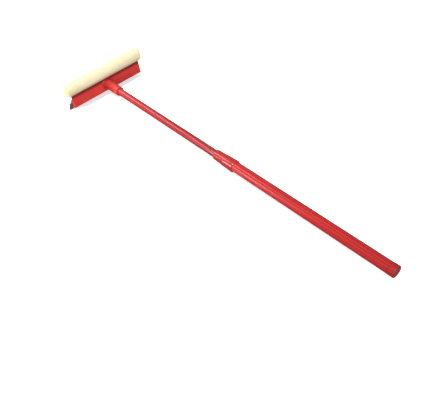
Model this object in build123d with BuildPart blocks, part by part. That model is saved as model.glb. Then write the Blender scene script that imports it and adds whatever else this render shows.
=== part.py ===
from build123d import *
from math import cos, radians, sin
import os

# Telescopic window squeegee: a moulded head carries a foam strip on its top edge and a
# rubber blade along its bottom edge, on a two-tube handle with a twist lock.
# Millimetres. +X runs along the head, +Y from the grip towards the head, +Z up.
# The origin is under the middle of the extended tool, level with the blade's edge.

# ---- driving dimensions -------------------------------------------------------------
HEAD_LENGTH = 200.0          # moulded head, along X
BLADE_LENGTH = 212.0         # stands 6 mm proud of the head at each end
FOAM_LENGTH = 216.0          # stands 8 mm proud
HANDLE_LENGTH = 841.0        # back of the head to the grip's end, extended

INNER_TUBE_RADIUS = 8.4
OUTER_TUBE_RADIUS = 10.0
TUBE_WALL = 0.8
GRIP_RADIUS = 11.05          # over the ribs
CAP_RADIUS = 11.35
RUNNING_GAP = 0.05           # radial clearance of parts that slide on a tube
THREAD_GAP = 0.08            # radial clearance of the nut on its ferrule
SEAT_GAP = 0.1               # clearance between pieces that are assembled together
EDGE_ROUNDING = 1.0
SCREW_RADIUS = 1.4
SCREW_HOLE_RADIUS = 1.6
PILOT_RADIUS = 1.5
SCREW_HEAD_RADIUS = 2.7
SCREW_HEAD_HEIGHT = 1.5

# head section, measured forward and up from where the handle axis meets its back
BACK_BOTTOM = -18.0
FLANGE_TOP = 15.5
FLANGE_UNDERSIDE = 13.2
FLANGE_DEPTH = 12.0
WEB_THICKNESS = 5.0
WEB_BEND = 3.0               # height where the web starts to lean with the blade

POCKET_OUTLINE = ((3.5, -24), (3.5, -10), (7.5, -10), (16.0, -24))
POCKET_LENGTH = 28.0         # the wedge behind the blade is cored from below
POCKET_PLACES = (-77.5, -46.5, -15.5, 15.5, 46.5, 77.5)

SOCKET_LENGTH = 58.0
SOCKET_ROOT_RADIUS = 11.8
SOCKET_END_RADIUS = 11.2
SOCKET_FLOOR = 8.5           # where the tube bottoms out
SOCKET_ROOT_ROUNDING = 2.5
SOCKET_SCREW_AT = 45.0
SOCKET_SCREW_SEAT = 9.6      # floor of the screw's recess, below the handle axis
SOCKET_SCREW_RECESS = 3.2    # its radius
SOCKET_SCREW_LENGTH = 4.0

# rubber blade: leans forward, measured up from its edge and out from its middle
BLADE_LEAN = radians(34)
BLADE_EDGE_FORWARD = 33.0
BLADE_EDGE_DEPTH = 36.5      # below the handle axis
BLADE_EDGE_HALF = 0.6
BLADE_ROOT_HALF = 1.5
BLADE_TAPER_TOP = 17.0
BLADE_ROOT_TOP = 33.2
RIDGE_LOW = 26.8             # locking ridge along the blade's front
RIDGE_HIGH = 31.2
RIDGE_OUT = 2.3
LIP = 20.0                   # the head and its clamp strip start this far up the blade
CLAMP_TOP = 42.0
CLAMP_OUTSIDE = 4.1
CLAMP_SCREW_HEIGHT = 38.0
CLAMP_SCREW_PLACES = ((-81, 0), (-27, 0), (27, 0), (81, 0))
CLAMP_SCREW_LENGTH = 7.0
CLAMP_PILOT_DEPTH = 5.0

# foam strip: a net sleeve goes right round the foam and its backing
COVER_THICKNESS = 0.7
COVER_LENGTH = 212.0
FOAM_BOTTOM = FLANGE_TOP + SEAT_GAP
FOAM_OUTLINE = ((-1.5, FOAM_BOTTOM), (-7.5, 22.5), (-9.5, 32), (-8.5, 41), (-3, 48),
                (6, 49.5), (13, 45), (16, 36), (15, 24), (12.5, FOAM_BOTTOM))
FOAM_ROUNDING = 3.0
BACKING_BOTTOM = FOAM_BOTTOM + COVER_THICKNESS + SEAT_GAP
BACKING_TOP = 19.0
BACKING_FROM = 1.0
BACKING_TO = 11.0
BACKING_LENGTH = 196.0
BACKING_SCREW_PLACES = ((-75, 8.8), (0, 8.8), (75, 8.8))
BACKING_SCREW_LENGTH = 5.5

# twist lock, measured down the handle from the head's back
NUT_START = 414.0
NOSE_CHAMFER = 2.0
NOSE_END = 437.0
NUT_SHOULDER = 443.0
NUT_END = 465.0
NOSE_RADIUS = 10.9
SHOULDER_RADIUS = 12.3
NUT_RADIUS = 12.9
NUT_BORE_RADIUS = INNER_TUBE_RADIUS + 0.3
CONE_START_RADIUS = 9.3      # the nut's inner cone, over the wedge ring
CONE_END_RADIUS = 10.4
FERRULE_RADIUS = 11.3
FERRULE_BORE_RADIUS = INNER_TUBE_RADIUS + 0.2
FERRULE_START = 443.3
RING_START = 465.5
RING_RADIUS = 13.15
RING_CHAMFER = 2.0
FERRULE_END = 472.0
TUBE_MOUTH = 451.7           # open end of the outer tube
INNER_TUBE_END = 452.0
BUSH_PLUG_START = 434.0
BUSH_END = 468.0
BUSH_HOLLOW_RADIUS = 5.0
BUSH_HOLLOW_START = 447.0
RIVET_AT = 443.0
RIVET_RADIUS = 1.25
WIPER_START = 417.0
WIPER_END = 420.0
WIPER_RADIUS = 9.9
WEDGE_START = 425.0
WEDGE_END = 442.5
WEDGE_START_RADIUS = 9.0
WEDGE_END_RADIUS = 10.1
WEDGE_SPLIT = 2.0

# grip
SLEEVE_START = 472.3
CAP_START = 829.3
CAP_ROUNDING = 1.2
TUBE_END = 838.0
PLUG_START = 826.0
RIB_COUNT = 12
FLUTE_RADIUS = 2.0
FLUTE_CENTRE_RADIUS = GRIP_RADIUS + 1.4

# ---- placing ------------------------------------------------------------------------
EDGE_FORWARD = BLADE_EDGE_FORWARD + BLADE_EDGE_HALF * cos(BLADE_LEAN)
AXIS_HEIGHT = BLADE_EDGE_DEPTH + BLADE_EDGE_HALF * sin(BLADE_LEAN)
HEAD_Y = (HANDLE_LENGTH - EDGE_FORWARD) / 2
DATUM = (0, HEAD_Y, AXIS_HEIGHT)

SECTION = Plane(origin=DATUM, x_dir=(0, 1, 0), z_dir=(1, 0, 0))      # forward, up
ACROSS = Plane(origin=DATUM, x_dir=(1, 0, 0), z_dir=(0, -1, 0))      # offset runs down the handle
ALONG = Plane(origin=DATUM, x_dir=(0, -1, 0), z_dir=(-1, 0, 0))      # down the handle, radius
LEVEL = Plane(origin=DATUM, x_dir=(1, 0, 0), z_dir=(0, 0, 1))        # sideways, forward
HANDLE_AXIS = Axis(DATUM, (0, -1, 0))


def blade_point(up, out):
    """Section point this far up the blade from its edge and out from its middle."""
    forward = BLADE_EDGE_FORWARD - up * sin(BLADE_LEAN) + out * cos(BLADE_LEAN)
    height = -BLADE_EDGE_DEPTH + up * cos(BLADE_LEAN) + out * sin(BLADE_LEAN)
    return (forward, height)


def clamp_plane(out):
    """Plane square to the clamp screws, this far out from the blade's middle."""
    forward, height = blade_point(CLAMP_SCREW_HEIGHT, out)
    facing = (0, cos(BLADE_LEAN), sin(BLADE_LEAN))
    return Plane(origin=(0, HEAD_Y + forward, AXIS_HEIGHT + height), x_dir=(1, 0, 0), z_dir=facing)


def finish(builder, label):
    """Names the piece and writes it."""
    builder.part.label = label
    export_step(builder.part, f"parts/{label}.step")


def outline(points):
    """Flat face inside straight lines through the points."""
    with BuildSketch() as face:
        with BuildLine():
            Polyline(*points, close=True)
        make_face()
    return face.sketch


def tapping_screws(label, seat, places, shank_length):
    """Cross-head screws: heads stand on the seat plane, shanks go down behind it."""
    with BuildPart() as screws:
        with BuildSketch(seat):
            with Locations(*places):
                Circle(SCREW_HEAD_RADIUS)
        extrude(amount=SCREW_HEAD_HEIGHT)
        tops = screws.faces().sort_by(Axis(seat.origin, seat.z_dir))[-len(places):]
        fillet(tops.edges(), SCREW_HEAD_HEIGHT / 3)
        with BuildSketch(seat):
            with Locations(*places):
                Circle(SCREW_RADIUS)
        extrude(amount=-shank_length)
        with BuildSketch(seat.offset(SCREW_HEAD_HEIGHT)):
            with Locations(*places):
                Rectangle(1.2 * SCREW_HEAD_RADIUS, SCREW_HEAD_RADIUS / 4)
                Rectangle(SCREW_HEAD_RADIUS / 4, 1.2 * SCREW_HEAD_RADIUS)
        extrude(amount=-SCREW_HEAD_HEIGHT / 2, mode=Mode.SUBTRACT)
    finish(screws, label)


os.makedirs("parts", exist_ok=True)


# ---- head ---------------------------------------------------------------------------
def make_head_frame():
    """Moulded web with a flange on top, a blade seat below and the handle socket behind."""
    seat = BLADE_ROOT_HALF + SEAT_GAP
    with BuildPart() as head_frame:
        with BuildSketch(SECTION.offset(-HEAD_LENGTH / 2)):
            add(outline([
                (0, FLANGE_TOP),
                (FLANGE_DEPTH, FLANGE_TOP),
                (FLANGE_DEPTH, FLANGE_UNDERSIDE),
                (WEB_THICKNESS, FLANGE_UNDERSIDE),
                (WEB_THICKNESS, WEB_BEND),
                blade_point(CLAMP_TOP + SEAT_GAP, CLAMP_OUTSIDE),
                blade_point(CLAMP_TOP + SEAT_GAP, seat),
                blade_point(BLADE_ROOT_TOP + SEAT_GAP, seat),
                blade_point(BLADE_ROOT_TOP + SEAT_GAP, -seat),
                blade_point(LIP, -seat),
                blade_point(LIP, -seat - 2),
                (0, BACK_BOTTOM),
            ]))
        extrude(amount=HEAD_LENGTH)
        back_face = head_frame.faces().sort_by(Axis.Y)[0]
        fillet(back_face.edges().filter_by(Axis.X).sort_by(Axis.Z)[0], EDGE_ROUNDING)
        under_flange = (0, HEAD_Y + WEB_THICKNESS, AXIS_HEIGHT + FLANGE_UNDERSIDE)
        fillet(head_frame.edges().filter_by(Axis.X).sort_by_distance(under_flange)[0], EDGE_ROUNDING)

        for place in POCKET_PLACES:
            with BuildSketch(SECTION.offset(place - POCKET_LENGTH / 2)):
                add(outline(POCKET_OUTLINE))
            extrude(amount=POCKET_LENGTH, mode=Mode.SUBTRACT)

        with BuildSketch(ALONG):
            add(outline([
                (-WEB_THICKNESS / 2, 0),
                (-WEB_THICKNESS / 2, SOCKET_ROOT_RADIUS),
                (0, SOCKET_ROOT_RADIUS),
                (SOCKET_LENGTH, SOCKET_END_RADIUS),
                (SOCKET_LENGTH, 0),
            ]))
        revolve(axis=HANDLE_AXIS)
        circles = head_frame.edges().filter_by(GeomType.CIRCLE)
        root = circles.filter_by_position(Axis.Y, HEAD_Y, HEAD_Y).sort_by(SortBy.RADIUS)[-1]
        fillet(root, SOCKET_ROOT_ROUNDING)
        rim = head_frame.edges().filter_by(GeomType.CIRCLE).sort_by(Axis.Y)[0]
        fillet(rim, EDGE_ROUNDING)
        with BuildSketch(ACROSS.offset(SOCKET_FLOOR)):
            Circle(INNER_TUBE_RADIUS + RUNNING_GAP)
        extrude(amount=SOCKET_LENGTH, mode=Mode.SUBTRACT)

        with BuildSketch(LEVEL):
            with Locations((0, -SOCKET_SCREW_AT)):
                Circle(PILOT_RADIUS)
        extrude(amount=-SOCKET_ROOT_RADIUS, mode=Mode.SUBTRACT)
        with BuildSketch(LEVEL.offset(-SOCKET_SCREW_SEAT)):
            with Locations((0, -SOCKET_SCREW_AT)):
                Circle(SOCKET_SCREW_RECESS)
        extrude(amount=-SOCKET_ROOT_RADIUS, mode=Mode.SUBTRACT)

        with BuildSketch(LEVEL.offset(FLANGE_UNDERSIDE)):
            with Locations(*BACKING_SCREW_PLACES):
                Circle(SCREW_HOLE_RADIUS)
        extrude(amount=FLANGE_TOP, mode=Mode.SUBTRACT)
        with BuildSketch(clamp_plane(seat)):
            with Locations(*CLAMP_SCREW_PLACES):
                Circle(PILOT_RADIUS)
        extrude(amount=-CLAMP_PILOT_DEPTH, mode=Mode.SUBTRACT)
    finish(head_frame, "head_frame")


def make_socket_screw():
    """Screw from below that holds the inner tube in the socket."""
    recess = LEVEL.offset(-SOCKET_SCREW_SEAT)
    seat = Plane(origin=recess.origin, x_dir=(1, 0, 0), z_dir=(0, 0, -1))
    tapping_screws("socket_screw", seat, [(0, SOCKET_SCREW_AT)], SOCKET_SCREW_LENGTH)


def make_blade_retainer():
    """Strip screwed to the front of the head, clamping the blade's root."""
    inside = BLADE_ROOT_HALF + SEAT_GAP
    with BuildPart() as blade_retainer:
        with BuildSketch(SECTION.offset(-HEAD_LENGTH / 2)):
            add(outline([
                blade_point(LIP, inside),
                blade_point(RIDGE_LOW - SEAT_GAP, inside),
                blade_point(RIDGE_LOW + 1, RIDGE_OUT + SEAT_GAP),
                blade_point(RIDGE_HIGH - 1, RIDGE_OUT + SEAT_GAP),
                blade_point(RIDGE_HIGH + SEAT_GAP, inside),
                blade_point(CLAMP_TOP, inside),
                blade_point(CLAMP_TOP, CLAMP_OUTSIDE),
                blade_point(LIP + 2, CLAMP_OUTSIDE),
                blade_point(LIP, CLAMP_OUTSIDE - 1.2),
            ]))
        extrude(amount=HEAD_LENGTH)
        with BuildSketch(clamp_plane(CLAMP_OUTSIDE)):
            with Locations(*CLAMP_SCREW_PLACES):
                Circle(SCREW_HOLE_RADIUS)
        extrude(amount=-CLAMP_OUTSIDE, mode=Mode.SUBTRACT)
    finish(blade_retainer, "blade_retainer")


def make_rubber_blade():
    """Rubber strip that tapers to its wiping edge, with a locking ridge on its front."""
    with BuildPart() as rubber_blade:
        with BuildSketch(SECTION.offset(-BLADE_LENGTH / 2)):
            add(outline([
                blade_point(0, BLADE_EDGE_HALF),
                blade_point(BLADE_TAPER_TOP, BLADE_ROOT_HALF),
                blade_point(RIDGE_LOW, BLADE_ROOT_HALF),
                blade_point(RIDGE_LOW + 1, RIDGE_OUT),
                blade_point(RIDGE_HIGH - 1, RIDGE_OUT),
                blade_point(RIDGE_HIGH, BLADE_ROOT_HALF),
                blade_point(BLADE_ROOT_TOP, BLADE_ROOT_HALF),
                blade_point(BLADE_ROOT_TOP, -BLADE_ROOT_HALF),
                blade_point(BLADE_TAPER_TOP, -BLADE_ROOT_HALF),
                blade_point(0, -BLADE_EDGE_HALF),
            ]))
        extrude(amount=BLADE_LENGTH)
    finish(rubber_blade, "rubber_blade")


def foam_section(inset):
    """Rounded loaf outline, this far inside the net's outer face."""
    with BuildSketch() as section:
        with BuildLine():
            Polyline(*FOAM_OUTLINE, close=True)
        make_face()
        above_the_base = section.vertices().sort_by(Axis.Y)[2:]
        fillet(above_the_base, FOAM_ROUNDING)
        offset(amount=-inset)
    return section.sketch


def make_sponge_core():
    """Foam strip, grooved underneath for its backing."""
    groove_width = BACKING_TO - BACKING_FROM + 2 * SEAT_GAP
    groove_length = BACKING_LENGTH + 2 * SEAT_GAP
    with BuildPart() as sponge_core:
        with BuildSketch(SECTION.offset(-FOAM_LENGTH / 2)):
            add(foam_section(COVER_THICKNESS + SEAT_GAP))
        extrude(amount=FOAM_LENGTH)
        with BuildSketch(SECTION.offset(-groove_length / 2)):
            with Locations((BACKING_FROM - SEAT_GAP, 0)):
                Rectangle(groove_width, BACKING_TOP + SEAT_GAP, align=Align.MIN)
        extrude(amount=groove_length, mode=Mode.SUBTRACT)
    finish(sponge_core, "sponge_core")


def make_sponge_cover():
    """Net sleeve drawn over the foam, open at both ends, with holes for the screws."""
    with BuildPart() as sponge_cover:
        with BuildSketch(SECTION.offset(-COVER_LENGTH / 2)):
            add(foam_section(0))
            add(foam_section(COVER_THICKNESS), mode=Mode.SUBTRACT)
        extrude(amount=COVER_LENGTH)
        with BuildSketch(LEVEL.offset(FLANGE_TOP)):
            with Locations(*BACKING_SCREW_PLACES):
                Circle(SCREW_HOLE_RADIUS)
        extrude(amount=BACKING_BOTTOM - FLANGE_TOP, mode=Mode.SUBTRACT)
    finish(sponge_cover, "sponge_cover")


def make_sponge_backing():
    """Flat strip inside the sleeve, which the screws under the flange hold."""
    with BuildPart() as sponge_backing:
        with BuildSketch(SECTION.offset(-BACKING_LENGTH / 2)):
            with Locations((BACKING_FROM, BACKING_BOTTOM)):
                Rectangle(BACKING_TO - BACKING_FROM, BACKING_TOP - BACKING_BOTTOM, align=Align.MIN)
        extrude(amount=BACKING_LENGTH)
        with BuildSketch(LEVEL.offset(BACKING_BOTTOM)):
            with Locations(*BACKING_SCREW_PLACES):
                Circle(PILOT_RADIUS)
        extrude(amount=BACKING_TOP, mode=Mode.SUBTRACT)
    finish(sponge_backing, "sponge_backing")


def make_backing_screws():
    """Three screws up through the flange into the foam's backing."""
    underside = LEVEL.offset(FLANGE_UNDERSIDE)
    seat = Plane(origin=underside.origin, x_dir=(1, 0, 0), z_dir=(0, 0, -1))
    places = [(x, -forward) for x, forward in BACKING_SCREW_PLACES]
    tapping_screws("backing_screws", seat, places, BACKING_SCREW_LENGTH)


def make_retainer_screws():
    """Four screws through the clamp strip into the head."""
    seat = clamp_plane(CLAMP_OUTSIDE)
    tapping_screws("retainer_screws", seat, CLAMP_SCREW_PLACES, CLAMP_SCREW_LENGTH)


# ---- inner tube and its bush --------------------------------------------------------
def make_inner_tube():
    """Painted steel tube fixed in the head's socket."""
    with BuildPart() as inner_tube:
        with BuildSketch(ACROSS.offset(SOCKET_FLOOR)):
            Circle(INNER_TUBE_RADIUS)
            Circle(INNER_TUBE_RADIUS - TUBE_WALL, mode=Mode.SUBTRACT)
        extrude(amount=INNER_TUBE_END - SOCKET_FLOOR)
        with BuildSketch(LEVEL):
            with Locations((0, -SOCKET_SCREW_AT)):
                Circle(PILOT_RADIUS)
        extrude(amount=-2 * INNER_TUBE_RADIUS, mode=Mode.SUBTRACT)
        with BuildSketch(SECTION):
            with Locations((-RIVET_AT, 0)):
                Circle(RIVET_RADIUS + RUNNING_GAP)
        extrude(amount=2 * INNER_TUBE_RADIUS, both=True, mode=Mode.SUBTRACT)
    finish(inner_tube, "inner_tube")


def make_guide_bush():
    """Plastic plug in the inner tube's end; its head runs in the outer tube."""
    running = OUTER_TUBE_RADIUS - TUBE_WALL - RUNNING_GAP
    plug = INNER_TUBE_RADIUS - TUBE_WALL - RUNNING_GAP
    with BuildPart() as guide_bush:
        with BuildSketch(ALONG):
            add(outline([
                (BUSH_PLUG_START, 0),
                (BUSH_PLUG_START, plug),
                (INNER_TUBE_END + SEAT_GAP, plug),
                (INNER_TUBE_END + SEAT_GAP, running),
                (BUSH_END - EDGE_ROUNDING, running),
                (BUSH_END, running - EDGE_ROUNDING),
                (BUSH_END, BUSH_HOLLOW_RADIUS),
                (BUSH_HOLLOW_START, BUSH_HOLLOW_RADIUS),
                (BUSH_HOLLOW_START, 0),
            ]))
        revolve(axis=HANDLE_AXIS)
        with BuildSketch(SECTION):
            with Locations((-RIVET_AT, 0)):
                Circle(RIVET_RADIUS + RUNNING_GAP)
        extrude(amount=2 * INNER_TUBE_RADIUS, both=True, mode=Mode.SUBTRACT)
    finish(guide_bush, "guide_bush")


def make_bush_rivet():
    """Cross rivet through the inner tube and the bush's plug, flush with the tube."""
    with BuildPart() as bush_rivet:
        with BuildSketch(SECTION):
            with Locations((-RIVET_AT, 0)):
                Circle(RIVET_RADIUS)
        extrude(amount=INNER_TUBE_RADIUS - RUNNING_GAP, both=True)
    finish(bush_rivet, "bush_rivet")


# ---- twist lock ---------------------------------------------------------------------
def make_lock_nut():
    """Twist collar that widens towards the ferrule, with an inner cone over the wedge ring."""
    thread = FERRULE_RADIUS + THREAD_GAP
    wiper_seat = WIPER_RADIUS + SEAT_GAP
    with BuildPart() as lock_nut:
        with BuildSketch(ALONG):
            add(outline([
                (NUT_START, NUT_BORE_RADIUS),
                (NUT_START, NOSE_RADIUS - NOSE_CHAMFER / 2),
                (NUT_START + NOSE_CHAMFER, NOSE_RADIUS),
                (NOSE_END, (NOSE_RADIUS + SHOULDER_RADIUS) / 2),
                (NUT_SHOULDER, SHOULDER_RADIUS),
                (NUT_END, NUT_RADIUS),
                (NUT_END, thread),
                (NUT_SHOULDER, thread),
                (NUT_SHOULDER, CONE_END_RADIUS),
                (WEDGE_START - SEAT_GAP, CONE_START_RADIUS),
                (WEDGE_START - SEAT_GAP, NUT_BORE_RADIUS),
                (WIPER_END + SEAT_GAP, NUT_BORE_RADIUS),
                (WIPER_END + SEAT_GAP, wiper_seat),
                (WIPER_START - SEAT_GAP, wiper_seat),
                (WIPER_START - SEAT_GAP, NUT_BORE_RADIUS),
            ]))
        revolve(axis=HANDLE_AXIS)
    finish(lock_nut, "lock_nut")


def make_wiper_ring():
    """Rubber ring in the nut's nose that keeps water out of the handle."""
    with BuildPart() as wiper_ring:
        with BuildSketch(ACROSS.offset(WIPER_START)):
            Circle(WIPER_RADIUS)
            Circle(INNER_TUBE_RADIUS + RUNNING_GAP, mode=Mode.SUBTRACT)
        extrude(amount=WIPER_END - WIPER_START)
    finish(wiper_ring, "wiper_ring")


def make_wedge_ring():
    """Split plastic cone that the nut squeezes on to the inner tube."""
    with BuildPart() as wedge_ring:
        with BuildSketch(ALONG):
            add(outline([
                (WEDGE_START, INNER_TUBE_RADIUS + RUNNING_GAP),
                (WEDGE_START, WEDGE_START_RADIUS),
                (WEDGE_END, WEDGE_END_RADIUS),
                (WEDGE_END, INNER_TUBE_RADIUS + RUNNING_GAP),
            ]))
        revolve(axis=HANDLE_AXIS)
        with BuildSketch(LEVEL):
            with Locations((0, -(WEDGE_START + WEDGE_END) / 2)):
                Rectangle(WEDGE_SPLIT, 2 * (WEDGE_END - WEDGE_START))
        extrude(amount=2 * INNER_TUBE_RADIUS, mode=Mode.SUBTRACT)
    finish(wedge_ring, "wedge_ring")


def make_ferrule():
    """Threaded end piece pressed over the outer tube's mouth, with a thumb ring."""
    over_tube = OUTER_TUBE_RADIUS + RUNNING_GAP
    with BuildPart() as ferrule:
        with BuildSketch(ALONG):
            add(outline([
                (FERRULE_START, FERRULE_BORE_RADIUS),
                (FERRULE_START, FERRULE_RADIUS),
                (RING_START, FERRULE_RADIUS),
                (RING_START, RING_RADIUS),
                (FERRULE_END - RING_CHAMFER, RING_RADIUS),
                (FERRULE_END, RING_RADIUS - RING_CHAMFER / 2),
                (FERRULE_END, over_tube),
                (TUBE_MOUTH - SEAT_GAP, over_tube),
                (TUBE_MOUTH - SEAT_GAP, FERRULE_BORE_RADIUS),
            ]))
        revolve(axis=HANDLE_AXIS)
    finish(ferrule, "ferrule")


# ---- grip ---------------------------------------------------------------------------
def make_outer_tube():
    """Steel tube inside the grip."""
    with BuildPart() as outer_tube:
        with BuildSketch(ACROSS.offset(TUBE_MOUTH)):
            Circle(OUTER_TUBE_RADIUS)
            Circle(OUTER_TUBE_RADIUS - TUBE_WALL, mode=Mode.SUBTRACT)
        extrude(amount=TUBE_END - TUBE_MOUTH)
    finish(outer_tube, "outer_tube")


def make_ribbed_sleeve():
    """Plastic sleeve over the outer tube, with shallow flutes between its ribs."""
    with BuildPart() as ribbed_sleeve:
        with BuildSketch(ACROSS.offset(SLEEVE_START)):
            Circle(GRIP_RADIUS)
            Circle(OUTER_TUBE_RADIUS + RUNNING_GAP, mode=Mode.SUBTRACT)
            with PolarLocations(FLUTE_CENTRE_RADIUS, RIB_COUNT):
                Circle(FLUTE_RADIUS, mode=Mode.SUBTRACT)
        extrude(amount=CAP_START - SEAT_GAP - SLEEVE_START)
    finish(ribbed_sleeve, "ribbed_sleeve")


def make_end_cap():
    """Cap over the grip's end, with a plug inside the tube."""
    over_tube = OUTER_TUBE_RADIUS + RUNNING_GAP
    plug = OUTER_TUBE_RADIUS - TUBE_WALL - RUNNING_GAP
    with BuildPart() as end_cap:
        with BuildSketch(ALONG):
            add(outline([
                (CAP_START, over_tube),
                (CAP_START, CAP_RADIUS),
                (HANDLE_LENGTH, CAP_RADIUS),
                (HANDLE_LENGTH, 0),
                (PLUG_START, 0),
                (PLUG_START, plug),
                (TUBE_END + SEAT_GAP, plug),
                (TUBE_END + SEAT_GAP, over_tube),
            ]))
        revolve(axis=HANDLE_AXIS)
        fillet(end_cap.edges().filter_by(GeomType.CIRCLE).sort_by(Axis.Y)[0], CAP_ROUNDING)
    finish(end_cap, "end_cap")


make_head_frame()
make_blade_retainer()
make_retainer_screws()
make_rubber_blade()
make_sponge_core()
make_sponge_cover()
make_sponge_backing()
make_backing_screws()
make_socket_screw()
make_inner_tube()
make_guide_bush()
make_bush_rivet()
make_lock_nut()
make_wiper_ring()
make_wedge_ring()
make_ferrule()
make_outer_tube()
make_ribbed_sleeve()
make_end_cap()
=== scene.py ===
import math

import bpy
from mathutils import Matrix, Vector, noise


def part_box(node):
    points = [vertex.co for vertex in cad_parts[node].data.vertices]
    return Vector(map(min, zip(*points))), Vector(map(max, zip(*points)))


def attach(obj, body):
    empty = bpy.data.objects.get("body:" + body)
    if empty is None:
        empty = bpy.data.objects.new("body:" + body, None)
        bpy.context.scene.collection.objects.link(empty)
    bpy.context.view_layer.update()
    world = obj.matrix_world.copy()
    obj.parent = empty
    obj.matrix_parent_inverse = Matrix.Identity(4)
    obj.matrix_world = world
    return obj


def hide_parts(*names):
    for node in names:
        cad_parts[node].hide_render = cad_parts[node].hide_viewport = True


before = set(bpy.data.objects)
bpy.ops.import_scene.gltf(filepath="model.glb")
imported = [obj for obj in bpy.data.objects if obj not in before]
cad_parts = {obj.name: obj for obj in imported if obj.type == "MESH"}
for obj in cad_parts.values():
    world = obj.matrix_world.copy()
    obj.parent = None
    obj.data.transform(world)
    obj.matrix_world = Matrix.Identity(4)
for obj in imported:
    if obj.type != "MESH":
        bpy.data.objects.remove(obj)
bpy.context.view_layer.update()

# Looks of a telescopic window squeegee: red head and handle, net-covered foam strip, rubber blade.
# Metres, in the CAD's frame: +X runs along the head, +Y from the grip to the head, +Z up.

MM = 0.001

# ---- places read from the frame ------------------------------------------------------------
HANDLE_LENGTH = 841.0 * MM
tube_low, tube_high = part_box("inner_tube")
cap_low, cap_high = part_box("end_cap")
blade_low, blade_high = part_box("rubber_blade")
foam_low, foam_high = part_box("sponge_core")
cover_low, cover_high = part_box("sponge_cover")
backing_low, backing_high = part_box("sponge_backing")
AXIS_X = (tube_low.x + tube_high.x) / 2
AXIS_Z = (tube_low.z + tube_high.z) / 2
HEAD_Y = cap_low.y + HANDLE_LENGTH
DATUM = Vector((AXIS_X, HEAD_Y, AXIS_Z))      # the head's back, on the handle's axis

# ---- colours (linear) ----------------------------------------------------------------------
HEAD_RED = (0.470, 0.034, 0.028)
HEAD_RED_DEEP = (0.410, 0.024, 0.020)
HEAD_SCUFF = (0.720, 0.180, 0.160)
# painted shade for the head's corners and the shadow band under the foam
HEAD_SHADE_RED = (0.190, 0.007, 0.009)
TUBE_RED = (0.340, 0.017, 0.018)
TUBE_RED_DEEP = (0.290, 0.012, 0.013)
TUBE_SCUFF = (0.740, 0.240, 0.220)
NUT_RED = (0.430, 0.030, 0.026)
NUT_RED_DEEP = (0.360, 0.018, 0.017)
GRIP_RED = (0.540, 0.030, 0.028)
GRIP_RED_DEEP = (0.460, 0.020, 0.019)
GRIP_SCUFF = (0.680, 0.150, 0.140)
CAP_RED = (0.460, 0.022, 0.020)
CAP_RED_DEEP = (0.400, 0.016, 0.015)
# painted shade on the cap's end face
CAP_END_SHADE_RED = (0.130, 0.012, 0.013)
# painted shade in the grip's flutes
FLUTE_SHADE_RED = (0.390, 0.015, 0.016)
RUBBER_DARK = (0.085, 0.072, 0.074)
RUBBER_DUSTY = (0.210, 0.185, 0.188)
STEEL = (0.620, 0.610, 0.590)
STEEL_DULL = (0.400, 0.390, 0.370)
STEEL_WORN = (0.780, 0.770, 0.750)
ACETAL = (0.780, 0.770, 0.720)
ACETAL_DEEP = (0.660, 0.640, 0.580)
BACKING_GREY = (0.330, 0.330, 0.320)
BACKING_GREY_DEEP = (0.250, 0.250, 0.240)
FOAM_YELLOW = (0.780, 0.490, 0.150)
FOAM_PALE = (0.820, 0.570, 0.240)
# painted shade inside the foam's pores
FOAM_PORE_SHADE = (0.600, 0.380, 0.070)
NET_CREAM = (0.940, 0.740, 0.520)
NET_WARM = (0.920, 0.680, 0.440)
NET_HOLE = (0.840, 0.660, 0.270)
FLOOR_WHITE = (0.900, 0.900, 0.900)


# ---- node helpers --------------------------------------------------------------------------
def add_node(material, kind, **settings):
    """A new shader node with these properties set on it."""
    made = material.node_tree.nodes.new(kind)
    for key, value in settings.items():
        setattr(made, key, value)
    return made


def join(material, source, output, target, socket):
    """Links source's output to target's socket; both sockets are names or numbers."""
    material.node_tree.links.new(source.outputs[output], target.inputs[socket])


def blank_material(name):
    """A material with a Principled shader, and that shader."""
    material = bpy.data.materials.new(name)
    material.use_nodes = True
    shader = material.node_tree.nodes["Principled BSDF"]
    return material, shader


def local_noise(material, scale, detail=3.0, stretch=(1.0, 1.0, 1.0), roughness=0.55):
    """Noise in the piece's own space, in features per metre, drawn out by stretch."""
    place = add_node(material, "ShaderNodeTexCoord")
    mapping = add_node(material, "ShaderNodeMapping")
    mapping.inputs["Scale"].default_value = stretch
    texture = add_node(material, "ShaderNodeTexNoise")
    texture.inputs["Scale"].default_value = scale
    texture.inputs["Detail"].default_value = detail
    texture.inputs["Roughness"].default_value = roughness
    join(material, place, "Object", mapping, "Vector")
    join(material, mapping, "Vector", texture, "Vector")
    return texture


def ramp(material, source, output, low, high, to_low=0.0, to_high=1.0):
    """Maps a value from low..high to to_low..to_high, clamped."""
    mapped = add_node(material, "ShaderNodeMapRange")
    mapped.inputs["From Min"].default_value = low
    mapped.inputs["From Max"].default_value = high
    mapped.inputs["To Min"].default_value = to_low
    mapped.inputs["To Max"].default_value = to_high
    join(material, source, output, mapped, "Value")
    return mapped


def blend_colours(material, factor, factor_output, first, second):
    """A colour between first and second, which are colours or nodes giving one in "Result"."""
    mix = add_node(material, "ShaderNodeMix", data_type="RGBA")
    join(material, factor, factor_output, mix, 0)
    for socket, colour in ((6, first), (7, second)):
        if isinstance(colour, tuple):
            mix.inputs[socket].default_value = (*colour, 1.0)
        else:
            material.node_tree.links.new(colour.outputs[2], mix.inputs[socket])
    return mix


def multiply(material, first, first_output, second, second_output):
    """The product of two values."""
    product = add_node(material, "ShaderNodeMath", operation="MULTIPLY")
    join(material, first, first_output, product, 0)
    join(material, second, second_output, product, 1)
    return product


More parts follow.
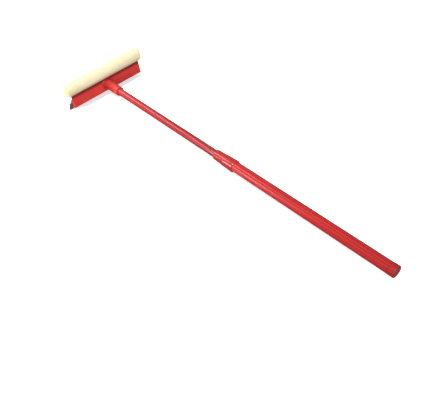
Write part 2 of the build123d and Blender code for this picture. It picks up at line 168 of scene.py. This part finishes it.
def edge_mask(material, radius):
    """1 on the piece's sharp edges and 0 on its faces, and the node with the rounded normal."""
    rounded = add_node(material, "ShaderNodeBevel", samples=4)
    rounded.inputs["Radius"].default_value = radius
    flat = add_node(material, "ShaderNodeNewGeometry")
    dot = add_node(material, "ShaderNodeVectorMath", operation="DOT_PRODUCT")
    join(material, rounded, "Normal", dot, 0)
    join(material, flat, "Normal", dot, 1)
    mask = ramp(material, dot, "Value", 0.99, 0.86)
    return mask, rounded


def bump(material, height, output, distance, strength, normal=None, normal_output="Normal"):
    """Bump from a height, on top of an earlier normal."""
    made = add_node(material, "ShaderNodeBump")
    made.inputs["Distance"].default_value = distance
    made.inputs["Strength"].default_value = strength
    join(material, height, output, made, "Height")
    if normal is not None:
        join(material, normal, normal_output, made, "Normal")
    return made


def overpaint(material, factor, factor_output, colour):
    """Blends a finished material's colour towards another one."""
    base = material.node_tree.nodes["Principled BSDF"].inputs["Base Color"]
    coloured = base.links[0].from_node
    shaded = blend_colours(material, factor, factor_output, coloured, colour)
    material.node_tree.links.new(shaded.outputs[2], base)


def object_axes(material):
    """A node giving X, Y and Z in the piece's own space, which is the frame at rest."""
    place = add_node(material, "ShaderNodeTexCoord")
    split = add_node(material, "ShaderNodeSeparateXYZ")
    join(material, place, "Object", split, "Vector")
    return split


# ---- hard materials ------------------------------------------------------------------------
MOTTLE_SCALE = 38.0              # features per metre: uneven colour, rubbed edges, uneven gloss
RUB_SCALE = 210.0
SMEAR_SCALE = 70.0
COAT_ROUGHNESS = 0.12


def hard_material(name, main, deep, scuff, rough, grain, grain_depth, edge, specular=0.45,
                  coat=0.0, metallic=0.0, streak=(1.0, 1.0, 1.0), wear=0.6):
    """Moulded, painted or metal surface: mottled colour, worn edges, fine grain, uneven gloss."""
    material, shader = blank_material(name)
    mottle = local_noise(material, MOTTLE_SCALE, detail=4.0, stretch=streak)
    mottled = ramp(material, mottle, "Fac", 0.35, 0.68)
    body = blend_colours(material, mottled, "Result", deep, main)

    mask, rounded = edge_mask(material, edge)
    rubs = local_noise(material, RUB_SCALE, detail=5.0)
    rubbed = ramp(material, rubs, "Fac", 0.42, 0.72, 0.0, wear)
    worn = multiply(material, mask, "Result", rubbed, "Result")
    coloured = blend_colours(material, worn, "Value", body, scuff)
    material.node_tree.links.new(coloured.outputs[2], shader.inputs["Base Color"])

    smears = local_noise(material, SMEAR_SCALE, detail=4.0, stretch=streak)
    gloss = ramp(material, smears, "Fac", 0.3, 0.7, rough - 0.05, rough + 0.08)
    join(material, gloss, "Result", shader, "Roughness")

    fine = local_noise(material, grain, detail=2.0, stretch=streak)
    grained = bump(material, fine, "Fac", grain_depth, 0.5, rounded)
    join(material, grained, "Normal", shader, "Normal")

    shader.inputs["Specular IOR Level"].default_value = specular
    shader.inputs["Metallic"].default_value = metallic
    shader.inputs["Coat Weight"].default_value = coat
    shader.inputs["Coat Roughness"].default_value = COAT_ROUGHNESS
    return material


ALONG_HANDLE = (1.0, 0.12, 1.0)
END_SHADE_RUN = 1.2 * MM              # how far the painted shade of the end face runs round the cap's rim
CORNER_SHADE_REACH = 10.0 * MM          # how near another surface the head's plastic gets painted shade
SHADOW_BAND_FROM = 5.5 * MM            # painted shadow band under the foam, up from the handle's axis
SHADOW_BAND_TO = 10.0 * MM
SHADE_PATCH_SCALE = 120.0
PLATE_FAR = 4.0 * MM             # the painted shadow band starts this far behind the plate and is full this near
PLATE_NEAR = 1.0 * MM
END_SHADE_SCALE = 260.0
FLUTE_FLOOR = 10.50 * MM         # radii of the grip sleeve's flutes and ribs
RIB_CREST = 11.02 * MM


def paint_head_shade(material):
    """Paints shade on the head's plastic, unevenly: darker in its corners, and a shadow band close
    under the foam.
    """
    nearby = add_node(material, "ShaderNodeAmbientOcclusion", samples=8)
    nearby.inputs["Distance"].default_value = CORNER_SHADE_REACH
    corner = ramp(material, nearby, "AO", 0.50, 0.88, 1.0, 0.0)
    axes = object_axes(material)
    high = ramp(material, axes, "Z", AXIS_Z + SHADOW_BAND_FROM, AXIS_Z + SHADOW_BAND_TO)
    plate = ramp(material, axes, "Y", HEAD_Y - PLATE_FAR, HEAD_Y - PLATE_NEAR)
    band = multiply(material, high, "Result", plate, "Result")
    either = add_node(material, "ShaderNodeMath", operation="MAXIMUM")
    join(material, corner, "Result", either, 0)
    join(material, band, "Value", either, 1)
    spread = local_noise(material, SHADE_PATCH_SCALE, detail=4.0)
    patchy = ramp(material, spread, "Fac", 0.25, 0.60, 0.75, 1.0)
    painted_shade = multiply(material, either, "Value", patchy, "Result")
    overpaint(material, painted_shade, "Value", HEAD_SHADE_RED)


def paint_flute_shade(material):
    """Paints shade into a grip material's colour in the flutes between its ribs."""
    place = add_node(material, "ShaderNodeTexCoord")
    across = add_node(material, "ShaderNodeVectorMath", operation="MULTIPLY_ADD")
    across.inputs[1].default_value = (1.0, 0.0, 1.0)
    across.inputs[2].default_value = (-AXIS_X, 0.0, -AXIS_Z)
    radius = add_node(material, "ShaderNodeVectorMath", operation="LENGTH")
    join(material, place, "Object", across, 0)
    join(material, across, "Vector", radius, 0)
    sunk = ramp(material, radius, "Value", FLUTE_FLOOR, RIB_CREST, 1.0, 0.0)
    overpaint(material, sunk, "Result", FLUTE_SHADE_RED)


def paint_end_shade(material):
    """Paints shade on the cap's end face, which faces away from the light and stands on the floor in
    use, unevenly round its rim.
    """
    axes = object_axes(material)
    near = ramp(material, axes, "Y", cap_low.y + END_SHADE_RUN / 4, cap_low.y + END_SHADE_RUN, 1.0, 0.0)
    rim_patches = local_noise(material, END_SHADE_SCALE, detail=4.0)
    patchy = ramp(material, rim_patches, "Fac", 0.25, 0.55, 0.7, 1.0)
    shaded_rim = multiply(material, near, "Result", patchy, "Result")
    overpaint(material, shaded_rim, "Value", CAP_END_SHADE_RED)


head_plastic = hard_material(
    "head_plastic", HEAD_RED, HEAD_RED_DEEP, HEAD_SCUFF,
    rough=0.34, grain=1500.0, grain_depth=0.05 * MM, edge=0.6 * MM, specular=0.35)
# painted shade in the head's corners and a painted shadow under the foam
paint_head_shade(head_plastic)
strip_plastic = hard_material(
    "strip_plastic", HEAD_RED, HEAD_RED_DEEP, HEAD_SCUFF,
    rough=0.38, grain=1700.0, grain_depth=0.05 * MM, edge=0.5 * MM)
tube_paint = hard_material(
    "tube_paint", TUBE_RED, TUBE_RED_DEEP, TUBE_SCUFF,
    rough=0.17, grain=900.0, grain_depth=0.02 * MM, edge=0.3 * MM,
    coat=0.30, streak=ALONG_HANDLE, wear=0.9)
nut_plastic = hard_material(
    "nut_plastic", NUT_RED, NUT_RED_DEEP, HEAD_SCUFF,
    rough=0.18, grain=1400.0, grain_depth=0.03 * MM, edge=0.5 * MM)
ferrule_plastic = hard_material(
    "ferrule_plastic", NUT_RED, NUT_RED_DEEP, HEAD_SCUFF,
    rough=0.24, grain=1600.0, grain_depth=0.05 * MM, edge=0.5 * MM)
grip_plastic = hard_material(
    "grip_plastic", GRIP_RED, GRIP_RED_DEEP, GRIP_SCUFF,
    rough=0.24, grain=1900.0, grain_depth=0.02 * MM, edge=0.25 * MM,
    specular=0.35, streak=ALONG_HANDLE, wear=0.5)
# painted shade in the grip's flutes
paint_flute_shade(grip_plastic)
cap_plastic = hard_material(
    "cap_plastic", CAP_RED, CAP_RED_DEEP, GRIP_SCUFF,
    rough=0.36, grain=1500.0, grain_depth=0.06 * MM, edge=0.6 * MM, specular=0.3)
# painted shade on the cap's end face
paint_end_shade(cap_plastic)
bush_plastic = hard_material(
    "bush_plastic", ACETAL, ACETAL_DEEP, ACETAL,
    rough=0.42, grain=1300.0, grain_depth=0.04 * MM, edge=0.4 * MM)
backing_plastic = hard_material(
    "backing_plastic", BACKING_GREY, BACKING_GREY_DEEP, BACKING_GREY,
    rough=0.5, grain=1300.0, grain_depth=0.06 * MM, edge=0.4 * MM)
screw_steel = hard_material(
    "screw_steel", STEEL, STEEL_DULL, STEEL_WORN,
    rough=0.30, grain=2400.0, grain_depth=0.03 * MM, edge=0.2 * MM, metallic=1.0)
rivet_metal = hard_material(
    "rivet_metal", STEEL, STEEL_DULL, STEEL_WORN,
    rough=0.34, grain=2400.0, grain_depth=0.03 * MM, edge=0.2 * MM, metallic=1.0)
tube_steel = hard_material(
    "tube_steel", STEEL, STEEL_DULL, STEEL_WORN,
    rough=0.36, grain=1200.0, grain_depth=0.04 * MM, edge=0.3 * MM,
    metallic=1.0, streak=ALONG_HANDLE)


BLOOM_SCALE = 90.0
RUBBER_LINE_SCALE = 1100.0


def rubber_material(name):
    """Extruded rubber: drawn-out lines along the head, dusty bloom, no shine."""
    material, shader = blank_material(name)
    bloom = local_noise(material, BLOOM_SCALE, detail=6.0, stretch=(0.35, 1.0, 1.0))
    dusted = ramp(material, bloom, "Fac", 0.40, 0.74)
    colour = blend_colours(material, dusted, "Result", RUBBER_DARK, RUBBER_DUSTY)
    material.node_tree.links.new(colour.outputs[2], shader.inputs["Base Color"])
    gloss = ramp(material, bloom, "Fac", 0.3, 0.7, 0.48, 0.72)
    join(material, gloss, "Result", shader, "Roughness")
    lines = local_noise(material, RUBBER_LINE_SCALE, detail=2.0, stretch=(0.03, 1.0, 1.0))
    drawn = bump(material, lines, "Fac", 0.05 * MM, 0.5)
    join(material, drawn, "Normal", shader, "Normal")
    shader.inputs["Specular IOR Level"].default_value = 0.35
    return material


blade_rubber = rubber_material("blade_rubber")
wiper_rubber = rubber_material("wiper_rubber")


# ---- foam and net --------------------------------------------------------------------------
SMALL_CELL_SCALE = 950.0         # features per metre
LARGE_CELL_SCALE = 420.0
FOAM_SHADE_SCALE = 60.0
NET_SHADE_SCALE = 55.0
WANDER_SCALE = 300.0
YARN_SCALE = 2600.0
THREAD_WANDER = 0.22             # how far threads stray, in pitches
THREAD_HALF = 0.13               # half a thread's width, and where its edge ends, in pitches
THREAD_EDGE = 0.22
SOFT_DEPTH = 8.0 * MM


def soften(shader):
    """Lets light into the foam and its net, which evens out their shading."""
    shader.inputs["Subsurface Weight"].default_value = 0.5
    shader.inputs["Subsurface Radius"].default_value = (1.0, 0.8, 0.45)
    shader.inputs["Subsurface Scale"].default_value = SOFT_DEPTH


def foam_material():
    """Open-cell foam: pores in two sizes with painted shade inside, with a soft uneven yellow."""
    material, shader = blank_material("foam_cells")
    place = add_node(material, "ShaderNodeTexCoord")
    cells = add_node(material, "ShaderNodeTexVoronoi", feature="F1")
    cells.inputs["Scale"].default_value = SMALL_CELL_SCALE
    join(material, place, "Object", cells, "Vector")
    large = add_node(material, "ShaderNodeTexVoronoi", feature="F1")
    large.inputs["Scale"].default_value = LARGE_CELL_SCALE
    join(material, place, "Object", large, "Vector")
    walls = multiply(material, cells, "Distance", large, "Distance")
    pore_shade = ramp(material, walls, "Value", 0.02, 0.16, 1.0, 0.0)
    shade = local_noise(material, FOAM_SHADE_SCALE, detail=4.0)
    uneven = ramp(material, shade, "Fac", 0.35, 0.65)
    tone = blend_colours(material, uneven, "Result", FOAM_YELLOW, FOAM_PALE)
    # painted shade inside the pores
    colour = blend_colours(material, pore_shade, "Result", tone, FOAM_PORE_SHADE)
    material.node_tree.links.new(colour.outputs[2], shader.inputs["Base Color"])
    pores = bump(material, walls, "Value", 0.35 * MM, 0.9)
    join(material, pores, "Normal", shader, "Normal")
    shader.inputs["Roughness"].default_value = 0.92
    shader.inputs["Specular IOR Level"].default_value = 0.15
    shader.inputs["Sheen Weight"].default_value = 0.15
    soften(shader)
    return material


def net_lines(material, split, first, second, sign):
    """1 on one family of slanting threads and 0 between them."""
    turned = add_node(material, "ShaderNodeMath", operation="MULTIPLY")
    turned.inputs[1].default_value = sign
    join(material, split, second, turned, 0)
    total = add_node(material, "ShaderNodeMath", operation="ADD")
    join(material, split, first, total, 0)
    join(material, turned, "Value", total, 1)
    fold = add_node(material, "ShaderNodeMath", operation="PINGPONG")
    fold.inputs[1].default_value = 0.5
    join(material, total, "Value", fold, 0)
    return ramp(material, fold, "Value", THREAD_HALF, THREAD_EDGE, 1.0, 0.0)


def net_material():
    """Knitted net over foam: cream threads in diamonds, with the yellow foam in the holes."""
    material, shader = blank_material("net_cloth")
    place = add_node(material, "ShaderNodeUVMap", uv_map="net")
    wander = local_noise(material, WANDER_SCALE, detail=2.0)
    shift = add_node(material, "ShaderNodeVectorMath", operation="MULTIPLY_ADD")
    shift.inputs[1].default_value = (THREAD_WANDER, THREAD_WANDER, 0.0)
    join(material, wander, "Color", shift, 0)
    join(material, place, "UV", shift, 2)
    split = add_node(material, "ShaderNodeSeparateXYZ")
    join(material, shift, "Vector", split, "Vector")
    rising = net_lines(material, split, "X", "Y", 1.0)
    falling = net_lines(material, split, "X", "Y", -1.0)
    threads = add_node(material, "ShaderNodeMath", operation="MAXIMUM")
    join(material, rising, "Result", threads, 0)
    join(material, falling, "Result", threads, 1)

    shade = local_noise(material, NET_SHADE_SCALE, detail=4.0)
    uneven = ramp(material, shade, "Fac", 0.35, 0.65)
    cream = blend_colours(material, uneven, "Result", NET_WARM, NET_CREAM)
    colour = blend_colours(material, threads, "Value", NET_HOLE, cream)
    material.node_tree.links.new(colour.outputs[2], shader.inputs["Base Color"])

    yarn = local_noise(material, YARN_SCALE, detail=2.0)
    fuzzy = bump(material, yarn, "Fac", 0.05 * MM, 0.4)
    raised = bump(material, threads, "Value", 0.22 * MM, 0.8, fuzzy)
    join(material, raised, "Normal", shader, "Normal")
    shader.inputs["Roughness"].default_value = 0.85
    shader.inputs["Specular IOR Level"].default_value = 0.2
    shader.inputs["Sheen Weight"].default_value = 0.25
    shader.inputs["Sheen Roughness"].default_value = 0.5
    soften(shader)
    return material


foam_cells = foam_material()
net_cloth = net_material()

MATERIALS = {
    "head_frame": head_plastic,
    "blade_retainer": strip_plastic,
    "retainer_screws": screw_steel,
    "rubber_blade": blade_rubber,
    "sponge_backing": backing_plastic,
    "backing_screws": screw_steel,
    "socket_screw": screw_steel,
    "inner_tube": tube_paint,
    "guide_bush": bush_plastic,
    "bush_rivet": rivet_metal,
    "lock_nut": nut_plastic,
    "wiper_ring": wiper_rubber,
    "wedge_ring": bush_plastic,
    "ferrule": ferrule_plastic,
    "outer_tube": tube_steel,
    "ribbed_sleeve": grip_plastic,
    "end_cap": cap_plastic,
}
for name, material in MATERIALS.items():
    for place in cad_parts[name].material_slots:
        place.material = material

# ---- foam strip and its net sleeve -----------------------------------------------------------
# Section of the covered strip, forward and up from the datum, in millimetres, anticlockwise
# seen from the head's left end. Its bottom lies on the head's flange.
BOTTOM = 15.6
SECTION = (
    (0.2, BOTTOM), (-1.5, BOTTOM + 0.4), (-7.5, 22.5), (-9.5, 32.0), (-8.5, 41.0), (-3.0, 48.0),
    (6.0, 49.5), (13.0, 45.0), (16.0, 36.0), (15.0, 24.0), (12.5, BOTTOM + 0.4), (11.4, BOTTOM),
)
SECTION_POINTS = 96
CORNER_CUTS = 3
STATION_SPACING = 2.0 * MM
HELD_BELOW = 17.0 * MM           # up to here the strip lies on the flange and stays flat
FREE_RISE = 7.0 * MM             # it is fully free this much higher
COVER_THICKNESS = 0.7 * MM
FOAM_INSET = 0.9 * MM
PUCKER = 0.45 * MM
NET_PITCH = 2.2 * MM
GROOVE_CLEARANCE = 0.1 * MM
SEAM_FORWARD = 14.6 * MM         # lengthwise seam, low on the strip's front
SEAM_HEIGHT = 21.5 * MM
SEAM_HALF_WIDTH = 1.3 * MM
SEAM_RISE = 0.35 * MM


def cut_corners(points, times):
    """Rounds a closed outline by cutting its corners again and again."""
    for _ in range(times):
        cut = []
        for here, after in zip(points, points[1:] + points[:1]):
            cut.append(here.lerp(after, 0.25))
            cut.append(here.lerp(after, 0.75))
        points = cut
    return points


def even_points(points, count):
    """The same closed outline with count evenly spaced points."""
    lengths = [(after - here).length for here, after in zip(points, points[1:] + points[:1])]
    total = sum(lengths)
    even = []
    index = 0
    passed = 0.0
    for step in range(count):
        target = total * step / count
        while passed + lengths[index] < target:
            passed += lengths[index]
            index += 1
        share = (target - passed) / lengths[index]
        even.append(points[index].lerp(points[(index + 1) % len(points)], share))
    return even, total


outline = [Vector((forward * MM, up * MM)) for forward, up in SECTION]
section, perimeter = even_points(cut_corners(outline, CORNER_CUTS), SECTION_POINTS)
normals = []
for number in range(SECTION_POINTS):
    run = section[(number + 1) % SECTION_POINTS] - section[number - 1]
    normals.append(Vector((-run.y, run.x)).normalized())
middle = sum(section, Vector((0.0, 0.0))) / SECTION_POINTS
if (section[0] - middle).dot(normals[0]) < 0:
    normals = [-normal for normal in normals]


def lift(x, number):
    """How far the cloth stands out of its mean section at a place along the strip."""
    point = section[number]
    freedom = min(1.0, max(0.0, (point.y - HELD_BELOW) / FREE_RISE))
    broad = noise.noise(Vector((x * 22.0, point.x * 40.0, point.y * 40.0)))
    small = noise.noise(Vector((x * 75.0 + 9.0, point.x * 110.0, point.y * 110.0)))
    return PUCKER * freedom * (broad + 0.45 * small - 0.55)


def seam(number):
    """The seam's ridge where it runs, and 0 elsewhere."""
    gap = (section[number] - Vector((SEAM_FORWARD, SEAM_HEIGHT))).length
    return SEAM_RISE * max(0.0, 1.0 - (gap / SEAM_HALF_WIDTH) ** 2)


def strip_point(x, number, inset, ridge=0.0):
    """A point of the strip, inset from the cover's outer face."""
    place = section[number] + normals[number] * (lift(x, number) + ridge - inset)
    return Vector((AXIS_X + x, DATUM.y + place.x, DATUM.z + place.y))


def make_object(name, vertices, faces):
    """A smooth-shaded mesh object."""
    mesh = bpy.data.meshes.new(name)
    mesh.from_pydata([tuple(vertex) for vertex in vertices], [], faces)
    mesh.validate()
    mesh.polygons.foreach_set("use_smooth", [True] * len(mesh.polygons))
    made = bpy.data.objects.new(name, mesh)
    bpy.context.scene.collection.objects.link(made)
    return made


def ring_faces(first, second, count):
    """Quads between two closed rings of count vertices."""
    quads = []
    for number in range(count):
        following = (number + 1) % count
        quads.append((first + number, second + number, second + following, first + following))
    return quads


def stations(half, spacing):
    """Evenly spaced places from -half to half."""
    steps = round(2 * half / spacing)
    return [-half + 2 * half * step / steps for step in range(steps + 1)]


def make_net():
    """The net sleeve: a thin closed tube of cloth, open at both ends of the foam."""
    half = (cover_high.x - cover_low.x) / 2
    places = stations(half, STATION_SPACING)
    vertices = []
    faces = []
    for inset, ridged in ((0.0, 1.0), (COVER_THICKNESS, 0.0)):
        for x in places:
            for number in range(SECTION_POINTS):
                vertices.append(strip_point(x, number, inset, ridged * seam(number)))
    layer = len(places) * SECTION_POINTS
    for start, outward in ((0, True), (layer, False)):
        for step in range(len(places) - 1):
            low = start + step * SECTION_POINTS
            quads = ring_faces(low, low + SECTION_POINTS, SECTION_POINTS)
            faces += quads if outward else [quad[::-1] for quad in quads]
    last = (len(places) - 1) * SECTION_POINTS
    faces += [quad[::-1] for quad in ring_faces(0, layer, SECTION_POINTS)]
    faces += ring_faces(last, layer + last, SECTION_POINTS)
    made = make_object("net_sleeve", vertices, faces)

    lanes = made.data.uv_layers.new(name="net")
    turns = round(perimeter / NET_PITCH)
    for polygon in made.data.polygons:
        numbers = [made.data.loops[loop].vertex_index % SECTION_POINTS for loop in polygon.loop_indices]
        wraps = max(numbers) - min(numbers) > SECTION_POINTS / 2
        for loop, number in zip(polygon.loop_indices, numbers):
            vertex = made.data.vertices[made.data.loops[loop].vertex_index]
            around = number + SECTION_POINTS if wraps and number == 0 else number
            lanes.data[loop].uv = (vertex.co.x / NET_PITCH, turns * around / SECTION_POINTS)
    return made


END_RINGS = 12
END_ROUNDING = 1.0 * MM
END_PIT = 0.45 * MM
PIT_SCALE = 900.0
GROOVE_STEP = 0.1 * MM           # the groove's end walls rise over this length


def in_groove(number):
    """True where the section's bottom runs over the backing strip."""
    forward = DATUM.y + section[number].x
    low = backing_low.y - GROOVE_CLEARANCE
    high = backing_high.y + GROOVE_CLEARANCE
    return low < forward < high and section[number].y < HELD_BELOW


def foam_ring(x, grooved):
    """One ring of the foam strip, raised over its backing where it is grooved."""
    ring = [strip_point(x, number, FOAM_INSET) for number in range(SECTION_POINTS)]
    if grooved:
        for number in range(SECTION_POINTS):
            if in_groove(number):
                ring[number].z = backing_high.z + GROOVE_CLEARANCE
    return ring


def make_foam():
    """The foam strip: free ends stand out of the net, rounded and pitted where they are cut."""
    half = (foam_high.x - foam_low.x) / 2
    groove_half = (backing_high.x - backing_low.x) / 2 + GROOVE_CLEARANCE
    body = half - END_ROUNDING
    places = [x for x in stations(body, STATION_SPACING) if abs(x) < groove_half - GROOVE_STEP]
    rings = [(-body, False), (-groove_half - GROOVE_STEP, False)]
    rings += [(x, True) for x in places]
    rings += [(groove_half + GROOVE_STEP, False), (body, False)]
    vertices = []
    for x, grooved in rings:
        vertices += foam_ring(x, grooved)
    faces = []
    for number in range(len(rings) - 1):
        low = number * SECTION_POINTS
        faces += ring_faces(low, low + SECTION_POINTS, SECTION_POINTS)
    centre = Vector((0.0, DATUM.y + middle.x, DATUM.z + middle.y))
    for side, edge in ((-1, 0), (1, (len(rings) - 1) * SECTION_POINTS)):
        before = edge
        rim = foam_ring(side * body, False)
        for ring in range(1, END_RINGS):
            share = ring / END_RINGS
            shrink = 1.0 - share ** 1.6
            start = len(vertices)
            for point in rim:
                place = centre + (point - centre) * shrink
                rounding = END_ROUNDING * min(1.0, share * 5.0) ** 0.5
                pit = END_PIT * max(0.0, noise.noise(place * PIT_SCALE))
                place.x = AXIS_X + side * (body + rounding - pit)
                vertices.append(place)
            quads = ring_faces(before, start, SECTION_POINTS)
            faces += quads if side > 0 else [quad[::-1] for quad in quads]
            before = start
        hub = len(vertices)
        vertices.append(Vector((AXIS_X + side * half, centre.y, centre.z)))
        for number in range(SECTION_POINTS):
            following = (number + 1) % SECTION_POINTS
            spoke = (before + following, before + number, hub)
            faces.append(spoke if side > 0 else spoke[::-1])
    return make_object("foam_strip", vertices, faces)


foam_strip = make_foam()
foam_strip.data.materials.append(foam_cells)
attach(foam_strip, "head")
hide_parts("sponge_core")

net_sleeve = make_net()
net_sleeve.data.materials.append(net_cloth)
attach(net_sleeve, "head")
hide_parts("sponge_cover")

# ---- floor, camera and light -----------------------------------------------------------------
FLOOR_HALF = 12.0
FLOOR_GLOW = 0.62                # near the object, where its shadow stays faint
FLOOR_GLOW_FAR = 1.0


GLOW_NEAR = 0.8                  # distances from the origin between which the glow grows
GLOW_FAR = 3.0
FLOOR_DROP = 0.1 * MM


def make_floor():
    """Wide floor that touches the blade's edge and the underside of the grip's end."""
    cap_middle = (cap_low.y + cap_high.y) / 2
    touch_y = blade_high.y - 0.5 * MM
    rise = cap_low.z - blade_low.z
    slope = -rise / (touch_y - cap_middle)
    corners = []
    for x, y in ((-1, -1), (1, -1), (1, 1), (-1, 1)):
        height = blade_low.z - FLOOR_DROP + slope * (y * FLOOR_HALF - touch_y)
        corners.append(Vector((x * FLOOR_HALF, y * FLOOR_HALF, height)))
    made = make_object("floor", corners, [(0, 1, 2, 3)])
    material, shader = blank_material("floor_paper")
    tooth = local_noise(material, 400.0)
    pressed = bump(material, tooth, "Fac", 0.1 * MM, 0.2)
    join(material, pressed, "Normal", shader, "Normal")
    shader.inputs["Base Color"].default_value = (*FLOOR_WHITE, 1.0)
    shader.inputs["Roughness"].default_value = 0.9
    shader.inputs["Specular IOR Level"].default_value = 0.1
    shader.inputs["Emission Color"].default_value = (1.0, 1.0, 1.0, 1.0)
    place = add_node(material, "ShaderNodeTexCoord")
    reach = add_node(material, "ShaderNodeVectorMath", operation="LENGTH")
    join(material, place, "Object", reach, 0)
    glow = ramp(material, reach, "Value", GLOW_NEAR, GLOW_FAR, FLOOR_GLOW, FLOOR_GLOW_FAR)
    join(material, glow, "Result", shader, "Emission Strength")
    made.data.materials.append(material)
    made.visible_diffuse = False        # the floor's whiteness doesn't wash out the red
    made.visible_glossy = False


make_floor()

CAMERA_OFFSET = Vector((-0.4565, -1.0504, 0.6717))      # from the datum
CAMERA_AZIMUTH = math.radians(-34.02)
CAMERA_PITCH = math.radians(90.0 - 46.60)
CAMERA_ROLL = math.radians(-10.39)
CAMERA_LENS = 42.07

camera = bpy.data.objects.new("camera", bpy.data.cameras.new("camera"))
bpy.context.scene.collection.objects.link(camera)
camera.data.sensor_width = 36.0
camera.data.lens = CAMERA_LENS
turn = Matrix.Rotation(CAMERA_AZIMUTH, 4, "Z")
pitch = Matrix.Rotation(CAMERA_PITCH, 4, "X")
roll = Matrix.Rotation(CAMERA_ROLL, 4, "Z")
camera.matrix_world = Matrix.Translation(DATUM + CAMERA_OFFSET) @ turn @ pitch @ roll
bpy.context.scene.camera = camera


def softbox(name, offset, target, along, length, width, power, spread=180.0):
    """An area light at offset from the datum, facing target, with its length running along."""
    light = bpy.data.lights.new(name, "AREA")
    light.shape = "RECTANGLE"
    light.size = length
    light.size_y = width
    light.energy = power
    light.spread = math.radians(spread)
    made = bpy.data.objects.new(name, light)
    bpy.context.scene.collection.objects.link(made)
    back = (Vector(offset) - Vector(target)).normalized()
    run = Vector(along)
    run = (run - back * run.dot(back)).normalized()
    across = back.cross(run)
    facing = Matrix((run, across, back)).transposed().to_4x4()
    made.matrix_world = Matrix.Translation(DATUM + Vector(offset)) @ facing


ALONG_X = (1, 0, 0)
ALONG_Y = (0, 1, 0)
softbox(
    "key", offset=(-1.20, -1.45, 3.00), target=(0.0, 0.25, 0.0), along=ALONG_X,
    length=0.22, width=0.22, power=8.6, spread=44.0)
softbox(
    "front", offset=(-0.50, -2.60, 0.25), target=(0.0, 0.00, 0.0), along=ALONG_X,
    length=1.4, width=0.5, power=11.0, spread=80.0)
softbox(
    "strip", offset=(-0.40, 0.95, 1.00), target=(0.0, -0.20, 0.0), along=(-0.35, -1.15, 0.45),
    length=1.3, width=0.04, power=9.0)
softbox(
    "side", offset=(-1.20, 0.35, 0.35), target=(-0.10, 0.0, 0.0), along=ALONG_Y,
    length=0.4, width=0.4, power=3.0, spread=70.0)

SKY_LIGHT = 0.40
GROUND_LIGHT = 0.20


def make_world():
    """Soft light from above, dimmer from below, and a white background behind the floor."""
    world = bpy.data.worlds.new("studio")
    world.use_nodes = True
    tree = world.node_tree
    place = tree.nodes.new("ShaderNodeTexCoord")
    split = tree.nodes.new("ShaderNodeSeparateXYZ")
    height = tree.nodes.new("ShaderNodeMapRange")
    height.inputs["From Min"].default_value = -0.2
    height.inputs["From Max"].default_value = 0.9
    height.inputs["To Min"].default_value = GROUND_LIGHT
    height.inputs["To Max"].default_value = SKY_LIGHT
    seen = tree.nodes.new("ShaderNodeLightPath")
    brighter = tree.nodes.new("ShaderNodeMath")
    brighter.operation = "ADD"
    backdrop = tree.nodes["Background"]
    tree.links.new(place.outputs["Generated"], split.inputs["Vector"])
    tree.links.new(split.outputs["Z"], height.inputs["Value"])
    tree.links.new(height.outputs["Result"], brighter.inputs[0])
    tree.links.new(seen.outputs["Is Camera Ray"], brighter.inputs[1])
    tree.links.new(brighter.outputs["Value"], backdrop.inputs["Strength"])
    backdrop.inputs["Color"].default_value = (1.0, 1.0, 1.0, 1.0)
    bpy.context.scene.world = world


make_world()
bpy.context.scene.view_settings.view_transform = "Standard"
